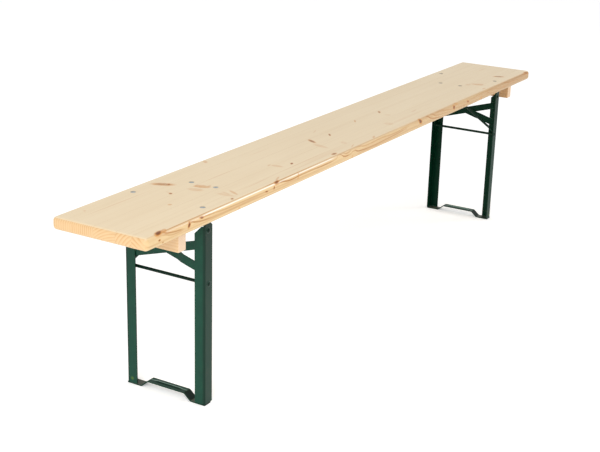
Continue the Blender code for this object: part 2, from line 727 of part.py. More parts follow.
def ear_outline():
    """An ear of the catch: round the latch pin, with a roof and an outer wall for the strut's bar.

    It is open below, because the leg's cross rod comes up to the same place when the leg is folded.
    """
    slant = slot_angle()
    leave = Vector((-math.cos(slant), -math.sin(slant)))
    over = Vector((-math.sin(slant), math.cos(slant)))
    bar = Vector((CATCH_DISTANCE, BAR_UP))
    pin = Vector((LATCH_PIN_DISTANCE, PIN_UP))
    slot = STRUT_RADIUS + SLOT_CLEARANCE
    pin_wall = LATCH_PIN_RADIUS + EAR_WALL / 2
    root = PLATE_BOTTOM + EAR_OVERLAP
    inner = CATCH_DISTANCE - EAR_REACH
    over_angle = math.atan2(over.y, over.x)
    wall_end = bar + Vector((slot + EAR_WALL / 2, -EAR_WALL_DROP))
    mouth = bar + over * slot
    mouth += leave * ((mouth.x - inner) / math.cos(slant))
    outline = [Vector((pin.x + pin_wall, root))]
    outline += arc(pin, pin_wall, 0, -math.pi / 2, ARC_STEPS)
    outline += arc(wall_end, EAR_WALL / 2, 0, -math.pi, 2 * ARC_STEPS)
    outline += arc(bar, slot, 0, over_angle, 2 * ARC_STEPS)
    outline += [mouth, Vector((inner, root))]
    return outline


def catch(end_name, end, pin_bore, seat_staves):
    inner = CATCH_BOLT_DISTANCE - CATCH_PLATE_INNER
    outer = CATCH_BOLT_DISTANCE + CATCH_PLATE_OUTER
    half = CATCH_BOLT_SIDE + CATCH_PLATE_MARGIN
    corners = ((inner, -half), (outer, -half), (outer, half), (inner, half))
    outline = rounded(corners, [CATCH_PLATE_CORNER] * len(corners))
    top = PLATE_BOTTOM + CATCH_STEEL
    body = placed(prism(outline, PLATE_BOTTOM, top, "out_side"), end)
    plate = piece(f"{end_name}_catch_plate", body, PAINT)
    for side_name, side in SIDES:
        ear = prism(ear_outline(), EAR_SIDE, EAR_SIDE + CATCH_STEEL, "out_up")
        combine(plate, cutter(f"{end_name}_{side_name}_ear", placed(ear, end, side)), "UNION")
    combine(plate, pin_bore)
    for side_name, side in SIDES:
        name = f"{end_name}_{side_name}_catch"
        through = stave_at(seat_staves, side * CATCH_BOLT_SIDE)
        bolt_set(name, end, side, CATCH_BOLT_DISTANCE, CATCH_BOLT_SIDE, plate, CATCH_STEEL, through)


def latch_lever():
    """A spring-steel strip: finger tab, hook over the strut's bar, and a curl round its pin."""
    ramp = Vector((math.cos(HOOK_ANGLE), math.sin(HOOK_ANGLE)))
    face_gap = STRUT_RADIUS + LATCH_BAR_GAP + LATCH_STEEL / 2
    bar = Vector((CATCH_DISTANCE, BAR_UP))
    off = Vector((-ramp.y, ramp.x)) * face_gap
    shoulder = bar + off + ramp * ((LATCH_UP - bar.y - off.y) / ramp.y)
    apex = shoulder - ramp * HOOK_LENGTH
    crest = apex + Vector((-ramp.x, ramp.y)) * (HOOK_LENGTH - LATCH_STEEL / 2)
    tab_end = crest - Vector((TAB_LENGTH, 0))
    lip = tab_end - TAB_LIP * Vector((math.cos(TAB_LIP_ANGLE), math.sin(TAB_LIP_ANGLE)))
    foot = Vector((LATCH_PIN_DISTANCE, LATCH_UP))
    corners = [lip, tab_end, crest, apex, shoulder, foot]
    radii = (0, HOOK_BEND_RADIUS, HOOK_BEND_RADIUS, HOOK_BEND_RADIUS, HOOK_BEND_RADIUS, 0)
    path = rounded(corners, radii, closed=False, steps=BEND_STEPS)[:-1]
    pin = (LATCH_PIN_DISTANCE, PIN_UP)
    path += arc(pin, CURL_RADIUS, -math.pi / 2, CURL_END_ANGLE, CURL_STEPS)
    return prism(strip_outline(path, LATCH_STEEL), -LATCH_HALF_WIDTH, LATCH_HALF_WIDTH, "out_up")


def tube(path, radius):
    """A round wire along a path in space, carried on from ring to ring with no twist."""
    bm = bmesh.new()
    rings = []
    first = Vector((0, 1, 0))
    for point, along in zip(path, tangents(path)):
        first = (first - along * first.dot(along)).normalized()
        second = along.cross(first)
        ring = []
        for i in range(WIRE_SIDES):
            angle = 2 * math.pi * i / WIRE_SIDES
            offset = first * math.cos(angle) + second * math.sin(angle)
            ring.append(bm.verts.new(point + offset * radius))
        rings.append(ring)
    skin(bm, rings)
    return bm


def latch_spring():
    """A spring wound on the pin: a tail under the plate, the turns, and an arm on the lever."""
    pin = Vector((LATCH_PIN_DISTANCE, 0, PIN_UP))
    radius = LATCH_PIN_RADIUS + FIT_GAP + SPRING_WIRE_RADIUS
    near_side = LATCH_HALF_WIDTH + FIT_GAP + SPRING_WIRE_RADIUS
    far_side = near_side + SPRING_PITCH * SPRING_TURNS
    tail_up = PLATE_BOTTOM - FIT_GAP - SPRING_WIRE_RADIUS - PIN_UP
    arm_up = LATCH_UP + LATCH_STEEL / 2 + FIT_GAP + SPRING_WIRE_RADIUS - PIN_UP
    turns = []
    for i in range(SPRING_TURNS * CURL_POINTS + 1):
        angle = math.pi / 2 + 2 * math.pi * i / CURL_POINTS
        side = far_side - SPRING_PITCH * i / CURL_POINTS
        turns.append(pin + Vector((radius * math.cos(angle), side, radius * math.sin(angle))))
    tail = pin + Vector((SPRING_TAIL, far_side, tail_up))
    arm = pin + Vector((-SPRING_ARM, near_side, arm_up))
    foot = arm - Vector((0, SPRING_ARM_FOOT, 0))
    least_gap = min(
        (turns[i] - turns[i + CURL_POINTS]).length for i in range(len(turns) - CURL_POINTS)
    ) - 2 * SPRING_WIRE_RADIUS
    print(f"least gap between the spring's turns: {least_gap:.5f} m")
    return [tail, *turns, arm, foot]


# Assembly


def build_end(end_name, end, seat_staves):
    across = HALF_WIDTH + CUT_OVERRUN
    leg_pivot = pivot_at(f"{end_name}_leg_pivot", (end * PIVOT_OUT, 0, PIVOT_UP))
    strut_pivot = pivot_at(f"{end_name}_strut_pivot", (end * ROD_OUT, 0, ROD_HEIGHT), leg_pivot)
    latch_pivot = pivot_at(f"{end_name}_latch_pivot", (end * LATCH_PIN_DISTANCE, 0, PIN_UP))
    bores = {}
    for name, radius, out, up in (
        ("pivot", RIVET_RADIUS, PIVOT_OUT, PIVOT_UP),
        ("rod", ROD_RADIUS, ROD_OUT, ROD_HEIGHT),
        ("pin", LATCH_PIN_RADIUS, LATCH_PIN_DISTANCE, PIN_UP),
    ):
        wall = radius + FIT_GAP
        body = turned([(wall, -across), (wall, across)], (end * out, 0, up), "side")
        bores[name] = cutter(f"{end_name}_{name}_bore", body)
    leg(end_name, end, leg_pivot, bores["rod"], bores["pivot"])
    for side_name, side in SIDES:
        hinge(end_name, side_name, end, side, leg_pivot, bores["pivot"], seat_staves)
    bar = piece(f"{end_name}_strut", placed(strut(), end), PAINT, strut_pivot, smooth=True)
    combine(bar, bores["rod"])
    catch(end_name, end, bores["pin"], seat_staves)
    lever = placed(latch_lever(), end)
    piece(f"{end_name}_latch_lever", lever, SPRING_STEEL, latch_pivot, smooth=True)
    pin_face = EAR_SIDE + CATCH_STEEL + FIT_GAP
    pin = rivet(LATCH_PIN_RADIUS, LATCH_PIN_HEAD_RADIUS, LATCH_PIN_HEAD_HEIGHT, -pin_face, pin_face)
    pin_body = turned(pin, (end * LATCH_PIN_DISTANCE, 0, PIN_UP), "side", steps=PIN_STEPS)
    piece(f"{end_name}_latch_pin", pin_body, ZINC, smooth=True)
    wire = tube(latch_spring(), SPRING_WIRE_RADIUS)
    piece(f"{end_name}_latch_spring", placed(wire, end), SPRING_STEEL, latch_pivot, smooth=True)
    batten(end_name, end, seat_staves)


clear_scene()
WOOD = material("pale_softwood", (0.74, 0.58, 0.36), 0.5, 0.0)
PAINT = material("green_paint", (0.02, 0.09, 0.06), 0.4, 0.0)
ZINC = material("zinc_steel", (0.55, 0.57, 0.58), 0.35, 1.0)
SPRING_STEEL = material("spring_steel", (0.3, 0.3, 0.31), 0.35, 1.0)
CUTTER_FINISH = material("cutter", (0.8, 0.2, 0.2), 0.5, 0.0)
SIDES = (("left", 1), ("right", -1))
SEAT_STAVES = staves()
build_end("near", -1, SEAT_STAVES)
build_end("far", 1, SEAT_STAVES)
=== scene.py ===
"""Dresses the folding trestle bench: wood, paint and metal, welds and threads, light and camera."""

import math
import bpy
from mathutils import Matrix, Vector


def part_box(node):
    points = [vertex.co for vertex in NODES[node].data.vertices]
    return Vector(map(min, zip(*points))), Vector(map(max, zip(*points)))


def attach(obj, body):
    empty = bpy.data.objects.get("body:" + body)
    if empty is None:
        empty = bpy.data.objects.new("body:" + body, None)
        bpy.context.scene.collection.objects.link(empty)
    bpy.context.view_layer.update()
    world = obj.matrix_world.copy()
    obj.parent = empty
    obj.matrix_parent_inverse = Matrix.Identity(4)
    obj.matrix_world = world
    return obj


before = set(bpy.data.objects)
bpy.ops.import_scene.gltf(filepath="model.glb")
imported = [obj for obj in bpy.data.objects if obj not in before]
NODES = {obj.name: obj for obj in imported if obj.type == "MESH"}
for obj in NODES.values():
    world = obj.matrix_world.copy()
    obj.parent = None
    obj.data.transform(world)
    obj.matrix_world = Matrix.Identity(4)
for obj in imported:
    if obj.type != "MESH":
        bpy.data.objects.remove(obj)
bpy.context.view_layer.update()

import bmesh
import bpy
from mathutils import Matrix, Vector

# Camera
CAMERA_PLACE = (-3.0020, -1.6261, 1.3479)
CAMERA_AZIMUTH = -1.0370
CAMERA_ELEVATION = 0.3288
CAMERA_ROLL = 0.0279
CAMERA_LENS = 73.34

# The seat
SEAT_TOP = 0.490
SEAT_UNDERSIDE = 0.460
SEAT_THICKNESS = 0.030
HALF_SEAT_WIDTH = 0.131
HALF_SEAT_LENGTH = 1.100
STAVE_EDGES = (-0.1310, -0.0909, -0.0469, 0.0141, 0.0749, 0.1310)
GLUE_SINK = 0.00005
GLUE_OVERLAP = 0.00002
SEAT_END_REACH = 0.03


def linear(value):
    """The linear light of a colour written as six hexadecimal digits."""
    parts = [int(value[i : i + 2], 16) / 255 for i in (0, 2, 4)]
    return tuple(p / 12.92 if p <= 0.04045 else ((p + 0.055) / 1.055) ** 2.4 for p in parts)


class Shader:
    """Adds nodes to a material, with each input given as a value or as another node's output."""

    def __init__(self, name):
        self.material = bpy.data.materials.new(name)
        self.material.use_nodes = True
        self.tree = self.material.node_tree
        self.surface = self.tree.nodes["Principled BSDF"]
        self.place = self.add("TexCoord").outputs["Object"]

    def add(self, kind, inputs=None, **settings):
        node = self.tree.nodes.new("ShaderNode" + kind)
        for key, value in settings.items():
            setattr(node, key, value)
        for key, value in (inputs or {}).items():
            self.put(node.inputs[key], value)
        return node

    def put(self, socket, value):
        if isinstance(value, bpy.types.NodeSocket):
            self.tree.links.new(value, socket)
        elif socket.type == "RGBA":
            socket.default_value = (*value, 1.0)
        else:
            socket.default_value = value

    def math(self, operation, *values, clamp=False):
        inputs = dict(enumerate(values))
        return self.add("Math", inputs, operation=operation, use_clamp=clamp).outputs[0]

    def spread(self, value, low, high, to_low=0.0, to_high=1.0, smooth=False):
        """The value from low to high, made to run from to_low to to_high."""
        inputs = {"Value": value, "From Min": low, "From Max": high, "To Min": to_low, "To Max": to_high}
        kind = "SMOOTHSTEP" if smooth else "LINEAR"
        return self.add("MapRange", inputs, interpolation_type=kind).outputs["Result"]

    def mix(self, share, first, second, blend="MIX"):
        node = self.add("Mix", data_type="RGBA", blend_type=blend)
        self.put(node.inputs["Factor"], share)
        self.put(node.inputs[6], first)
        self.put(node.inputs[7], second)
        return node.outputs[2]

    def noise(self, scale, detail=2.0, roughness=0.5, stretch=(1, 1, 1), offset=(0, 0, 0), place=None):
        mapping = self.add("Mapping", {"Vector": place or self.place, "Location": offset, "Scale": stretch})
        inputs = {"Vector": mapping.outputs[0], "Scale": scale, "Detail": detail, "Roughness": roughness}
        return self.add("TexNoise", inputs).outputs["Fac"]

    def blob(self, center, size, turn=(0, 0, 0), soft=0.4):
        """1 inside an oval, falling softly to 0 at its rim."""
        inputs = {"Vector": self.place, "Location": center, "Rotation": turn, "Scale": size}
        local = self.add("Mapping", inputs, vector_type="TEXTURE").outputs[0]
        distance = self.add("VectorMath", {0: local}, operation="LENGTH").outputs["Value"]
        return self.spread(distance, 1.0, 1.0 - soft, smooth=True)

    def curve(self, value, points):
        """A smooth course through points along the seat, each a place along it and a share from 0 to 1."""
        node = self.add("FloatCurve")
        course = node.mapping.curves[0]
        spots = [((x + HALF_SEAT_LENGTH) / (2 * HALF_SEAT_LENGTH), share) for x, share in points]
        course.points[0].location = (0.0, spots[0][1])
        course.points[1].location = (1.0, spots[-1][1])
        for spot in spots:
            if 0.0 < spot[0] < 1.0:
                course.points.new(*spot)
        node.mapping.update()
        self.put(node.inputs["Value"], self.spread(value, -HALF_SEAT_LENGTH, HALF_SEAT_LENGTH))
        return node.outputs["Value"]

    def bump(self, height, strength, distance=0.0005):
        inputs = {"Height": height, "Strength": strength, "Distance": distance}
        self.put(self.surface.inputs["Normal"], self.add("Bump", inputs).outputs[0])


def dress(names, material):
    for name in names:
        for slot in NODES[name].material_slots:
            slot.material = material


# Wood


PALE = {
    "top": (linear("E9D5B2"), linear("D9BD93")),
    "side": (linear("E0C18D"), linear("BC844A")),
    "end": (linear("E1BD8C"), linear("C48C52")),
}
BATTEN = {
    "top": (linear("EACB98"), linear("CF9F68")),
    "side": (linear("DFBF95"), linear("C69766")),
    "end": (linear("E8CDB0"), linear("D9B48C")),
}
# Painted shade: the far batten's tones are darker copies of the near batten's
FAR_BATTEN_SHADED = {
    "top": (linear("D9B48A"), linear("B98A58")),
    "side": (linear("C9A074"), linear("A5754A")),
    "end": (linear("E0BE98"), linear("C99E74")),
}
KNOT_RIM = linear("C9801A")
KNOT_CORE = linear("783E00")
KNOT_SPREAD = 1.45
FLOW_SPREAD = 3.2
WANDER = 0.030
RIPPLE = 0.004
LINE_BROWN = linear("AA6A1A")
# Painted highlight along the right side's upper rounded edge
ARRIS_HIGHLIGHT = linear("FFFAF0")
# Painted shade towards the far end of the right side
FAR_SHADE_BROWN = linear("D8CCC0")
GLUE = linear("BFA27A")
LINE_HALF_WIDTH = 0.0031
EDGE_LINE_UP = 0.4890
EDGE_LINE_SIDE = 0.1265
EDGE_LINE_FALL = (0.0013, 0.0030)
ARRIS_HIGHLIGHT_UP = 0.4864
ARRIS_HIGHLIGHT_FALL = (0.0018, 0.0002)
FAR_SHADE_REACH = (-0.3, 0.9)
GLUE_FALL = (0.0003, 0.0010)
TOP_RINGS = 0.14
SIDE_RINGS = 0.45
END_RINGS = 0.62


def wood(name, heart, pitch, seed, colors, knots=(), streaks=(), glue=(), curves=(), shades=(), along="X"):
    """Softwood, with the log's middle at the heart, which is given across and up from the frame's origin."""
    s = Shader(name)
    shape = s.add("TexCoord").outputs["Normal"]
    facing = [s.math("ABSOLUTE", part) for part in s.add("SeparateXYZ", {0: shape}).outputs]
    x, y, z = s.add("SeparateXYZ", {0: s.place}).outputs
    if along == "Y":
        x, y = y, x
        facing[0], facing[1] = facing[1], facing[0]
    grain = s.add("CombineXYZ", {0: x, 1: y, 2: z}).outputs[0]
    end_share = s.spread(facing[0], 0.45, 0.75, smooth=True)
    side_share = s.spread(facing[1], 0.35, 0.8, smooth=True)

    # Growth rings round the heart, which wander along the board and bend round the knots
    wander = s.noise(1.0, 1.0, 0.5, (1.6, 5.0, 5.0), (seed, seed, 0), grain)
    ripple = s.noise(1.0, 2.0, 0.5, (7.0, 30.0, 30.0), (0, seed, seed), grain)
    across = s.math("SUBTRACT", y, heart[0])
    upward = s.math("SUBTRACT", z, heart[1])
    squares = s.math("ADD", s.math("MULTIPLY", across, across), s.math("MULTIPLY", upward, upward))
    field = s.math("MULTIPLY_ADD", wander, WANDER, s.math("SQRT", squares))
    field = s.math("MULTIPLY_ADD", ripple, RIPPLE, field)
    for center, size, turn, depth, pull in knots:
        if pull:
            flow = s.blob(center, [FLOW_SPREAD * v for v in size], turn, soft=1.0)
            field = s.math("MULTIPLY_ADD", flow, pull, field)
    ring = s.math("FRACT", s.math("DIVIDE", field, pitch))
    late = s.math("MULTIPLY", s.spread(ring, 0.25, 0.93, smooth=True), s.spread(ring, 1.0, 0.95))
    strength = s.noise(1.0, 1.0, 0.5, (2.0, 22.0, 22.0), (seed, 0, 0), grain)
    late = s.math("MULTIPLY", late, s.spread(strength, 0.35, 0.65, 0.35, 1.0))

    # Fibres and slow changes of tone
    fibre = s.noise(1.0, 3.0, 0.6, (12.0, 900.0, 900.0), (seed, 0, seed), grain)
    streak = s.noise(1.0, 2.0, 0.55, (1.6, 70.0, 70.0), (seed, seed, 0), grain)
    tone = s.noise(1.0, 2.0, 0.5, (3.0, 12.0, 12.0), (0, seed, 0), grain)

    top_late = s.math("MULTIPLY", late, TOP_RINGS)
    top_late = s.math("MULTIPLY_ADD", s.spread(streak, 0.45, 0.75), 0.22, top_late)
    top_late = s.math("MULTIPLY_ADD", s.spread(fibre, 0.5, 0.8), 0.15, top_late, clamp=True)
    color = s.mix(top_late, *colors["top"])
    side = s.math("MULTIPLY_ADD", s.spread(fibre, 0.5, 0.8), 0.12, s.math("MULTIPLY", late, SIDE_RINGS))
    color = s.mix(side_share, color, s.mix(side, *colors["side"]))
    pores = s.noise(1400.0, 1.0, 0.5)
    end = s.math("MULTIPLY_ADD", s.spread(pores, 0.55, 0.8), 0.15, s.math("MULTIPLY", late, END_RINGS))
    color = s.mix(end_share, color, s.mix(end, *colors["end"]))
    color = s.mix(s.spread(tone, 0.3, 0.7, 0.0, 0.16), color, colors["top"][1])

    # Painted shade: the right side darkens and browns towards its far end
    if curves:
        far_shade = s.math("MULTIPLY", s.spread(x, *FAR_SHADE_REACH), side_share)
        color = s.mix(far_shade, color, FAR_SHADE_BROWN, "MULTIPLY")

    # Grain lines in the side, shades along its upper edge and a painted highlight just below it, streaks and
    # pitch lines, then knots
    for points in curves:
        up = s.curve(x, [(point[0], (point[1] - SEAT_UNDERSIDE) / SEAT_THICKNESS) for point in points])
        depth = s.curve(x, [(point[0], point[2]) for point in points])
        gap = s.math("SUBTRACT", z, s.math("MULTIPLY_ADD", up, SEAT_THICKNESS, SEAT_UNDERSIDE))
        line = s.spread(s.math("ABSOLUTE", gap), LINE_HALF_WIDTH, 0.0, smooth=True)
        color = s.mix(s.math("MULTIPLY", line, s.math("MULTIPLY", depth, side_share)), color, LINE_BROWN)
    if shades:
        above = s.math("ABSOLUTE", s.math("SUBTRACT", z, EDGE_LINE_UP))
        above = s.spread(above, EDGE_LINE_FALL[0], 0.0, smooth=True)
        beside = s.math("ABSOLUTE", s.math("ADD", y, EDGE_LINE_SIDE))
        beside = s.spread(beside, EDGE_LINE_FALL[1], 0.0, smooth=True)
        shade = s.math("MULTIPLY", s.math("MULTIPLY", above, beside), s.curve(x, shades))
        color = s.mix(shade, color, LINE_BROWN)
        # Painted highlight: a pale line along the rounded upper edge of the right side
        arris_highlight = s.math("ABSOLUTE", s.math("SUBTRACT", z, ARRIS_HIGHLIGHT_UP))
        arris_highlight = s.spread(arris_highlight, *ARRIS_HIGHLIGHT_FALL, smooth=True)
        arris_highlight = s.math("MULTIPLY", s.math("MULTIPLY", arris_highlight, side_share), s.curve(x, ARRIS_HIGHLIGHT_SHARES))
        color = s.mix(arris_highlight, color, ARRIS_HIGHLIGHT)
    for center, size, turn, depth in streaks:
        color = s.mix(s.math("MULTIPLY", s.blob(center, size, turn, soft=0.9), depth), color, KNOT_RIM)
    flecks = s.spread(s.noise(1.0, 3.0, 0.6, (70.0, 260.0, 260.0), (seed, 0, 0), grain), 0.3, 0.6, 0.55, 1.0)
    for center, size, turn, depth, pull in knots:
        mask = s.blob(center, [KNOT_SPREAD * v for v in size], turn, soft=0.85)
        color = s.mix(s.math("MULTIPLY", s.spread(mask, 0.0, 0.5, 0.0, depth), flecks), color, KNOT_RIM)
        if depth > 0.65:
            color = s.mix(s.spread(mask, 0.45, 0.9, 0.0, depth * depth), color, KNOT_CORE)
    for edge in glue:
        near = s.math("ABSOLUTE", s.math("SUBTRACT", y, edge))
        stretches = s.spread(tone, 0.35, 0.6, 0.2, 1.0)
        shown = s.math("MULTIPLY", s.spread(near, *GLUE_FALL, 0.25, 0.0), stretches)
        color = s.mix(shown, color, GLUE)
    s.put(s.surface.inputs["Base Color"], color)
    rough = s.math("MULTIPLY_ADD", fibre, 0.12, s.spread(late, 0.0, 1.0, 0.40, 0.32))
    s.put(s.surface.inputs["Roughness"], rough)
    s.surface.inputs["Specular IOR Level"].default_value = 0.35
    s.surface.inputs["Coat Weight"].default_value = 0.20
    s.surface.inputs["Coat Roughness"].default_value = 0.16
    s.bump(s.math("MULTIPLY_ADD", fibre, 0.6, s.math("MULTIPLY", late, 0.5)), 0.22, 0.0002)
    return s.material


def top_knot(x, y, length, width, turn=0.0, depth=0.8, pull=0.0):
    return ((x, y, SEAT_TOP), (length / 2, width / 2, 0.010), (0, 0, math.radians(turn)), depth, pull)


def side_knot(x, z, length, height, depth=0.8, turn=0.0):
    """A knot in the seat's right side, turned so that its near end is the higher one."""
    return ((x, -HALF_SEAT_WIDTH, z), (length / 2, 0.010, height / 2), (0, math.radians(turn), 0), depth, 0.0)


def top_line(x0, y0, x1, y1, width, depth):
    """A thin line in the seat's top, thickest in its middle."""
    turn = math.atan2(y1 - y0, x1 - x0)
    half = math.hypot(x1 - x0, y1 - y0) / 2
    return (((x0 + x1) / 2, (y0 + y1) / 2, SEAT_TOP), (half, width, 0.004), (0, 0, turn), depth)


TOP_KNOTS = (
    top_knot(-0.764, 0.080, 0.021, 0.054, 27, 0.66, 0.003),
    top_knot(-0.769, 0.087, 0.005, 0.036, 27, 0.50),
    top_knot(-0.757, 0.068, 0.013, 0.007, 25, 0.80),
    top_knot(-0.813, 0.021, 0.011, 0.008, 30, 0.85, 0.003),
    top_knot(-0.808, 0.031, 0.005, 0.014, -15, 0.30),
    top_knot(-0.881, -0.028, 0.010, 0.009, 0, 0.55),
    top_knot(-1.027, 0.098, 0.008, 0.006, 30, 0.35),
    top_knot(-0.7535, -0.008, 0.019, 0.036, 12, 0.34),
    top_knot(-0.724, -0.004, 0.020, 0.042, 14, 0.60),
    top_knot(-0.730, -0.002, 0.005, 0.036, 14, 0.50),
    top_knot(-0.712, -0.018, 0.020, 0.007, 20, 0.40),
    top_knot(-0.745, -0.088, 0.015, 0.042, 5, 0.26),
    top_knot(-0.733, -0.080, 0.006, 0.022, -10, 0.32),
    top_knot(-0.720, -0.093, 0.008, 0.036, -28, 0.48),
    top_knot(-0.762, -0.118, 0.012, 0.007, 25, 0.80),
    top_knot(-1.050, -0.124, 0.030, 0.012, 15, 1.00),
    top_knot(-1.030, -0.124, 0.016, 0.010, 25, 0.60),
    top_knot(-0.583, -0.127, 0.026, 0.009, 10, 0.90),
    top_knot(-0.562, -0.116, 0.030, 0.005, 20, 0.50),
    top_knot(-0.545, 0.112, 0.010, 0.020, -40, 0.50),
    top_knot(-0.474, -0.036, 0.015, 0.006, 15, 0.40),
    top_knot(-0.468, -0.056, 0.013, 0.030, 5, 0.38),
    top_knot(-0.427, -0.0745, 0.015, 0.007, 25, 1.00, 0.003),
    top_knot(-0.205, -0.003, 0.012, 0.040, -31, 0.80, 0.003),
    top_knot(-0.234, -0.047, 0.016, 0.048, -14, 0.30),
    top_knot(-0.115, -0.0075, 0.023, 0.006, 38, 0.90, 0.003),
    top_knot(-0.108, 0.045, 0.030, 0.003, 16, 0.35),
    top_knot(-0.281, -0.116, 0.024, 0.011, 5, 0.80),
    top_knot(-0.180, -0.116, 0.030, 0.003, 18, 0.45),
    top_knot(-0.165, -0.081, 0.014, 0.024, -40, 0.22),
    top_knot(-0.061, -0.118, 0.022, 0.006, 22, 0.55),
    top_knot(0.068, 0.012, 0.026, 0.005, 32, 0.60),
    top_knot(0.211, 0.007, 0.026, 0.008, 35, 0.70, 0.003),
    top_knot(0.100, -0.082, 0.024, 0.026, 0, 0.20),
    top_knot(0.195, -0.030, 0.018, 0.018, 0, 0.14),
    top_knot(0.290, -0.070, 0.034, 0.006, 5, 0.28),
    top_knot(0.743, -0.050, 0.024, 0.016, 0, 0.28),
    top_knot(0.770, -0.080, 0.022, 0.052, 20, 0.46),
    top_knot(0.762, -0.084, 0.006, 0.040, 25, 0.50),
    top_knot(0.932, -0.082, 0.016, 0.038, 25, 0.80, 0.003),
    top_knot(0.720, -0.117, 0.018, 0.008, 0, 0.50),
    top_knot(1.010, 0.013, 0.050, 0.008, 0, 0.20),
)
SIDE_KNOTS = (
    side_knot(-1.055, 0.4755, 0.008, 0.005, 0.90),
    side_knot(-1.043, 0.4672, 0.007, 0.004, 0.70),
    side_knot(-0.948, 0.4800, 0.009, 0.016, 1.00, 35),
    side_knot(-0.900, 0.4840, 0.016, 0.005, 1.00, 6),
    side_knot(-0.752, 0.4670, 0.009, 0.004, 0.60),
    side_knot(-0.634, 0.4775, 0.014, 0.004, 0.95, 8),
    side_knot(-0.600, 0.4785, 0.006, 0.009, 0.95, 25),
    side_knot(-0.486, 0.4815, 0.006, 0.018, 0.55, 25),
    side_knot(-0.206, 0.4680, 0.007, 0.007, 0.55),
    side_knot(0.212, 0.4820, 0.024, 0.014, 1.00, 28),
    side_knot(0.452, 0.4790, 0.018, 0.014, 1.00, 28),
    side_knot(0.470, 0.4870, 0.026, 0.007, 0.45, 10),
    side_knot(0.559, 0.4780, 0.020, 0.008, 0.90, 12),
    side_knot(0.668, 0.4710, 0.014, 0.009, 0.55, 10),
    side_knot(0.857, 0.4750, 0.014, 0.005, 0.40, 15),
    side_knot(1.068, 0.4870, 0.034, 0.008, 0.80, 8),
)
TOP_LINES = (
    top_line(-1.08, 0.0735, -0.79, 0.0735, 0.0030, 0.26),
    top_line(-0.71, 0.0141, -0.53, 0.0141, 0.0016, 0.42),
    top_line(-0.71, -0.0980, -0.52, -0.0930, 0.0022, 0.34),
    top_line(-0.60, -0.0925, -0.20, -0.0880, 0.0022, 0.36),
    top_line(-0.56, -0.1090, -0.26, -0.1080, 0.0018, 0.30),
    top_line(-0.46, 0.0540, -0.32, 0.0530, 0.0030, 0.16),
    top_line(-0.48, -0.1000, -0.12, -0.1000, 0.0140, 0.12),
    top_line(0.02, -0.0880, 0.40, -0.0880, 0.0100, 0.10),
)
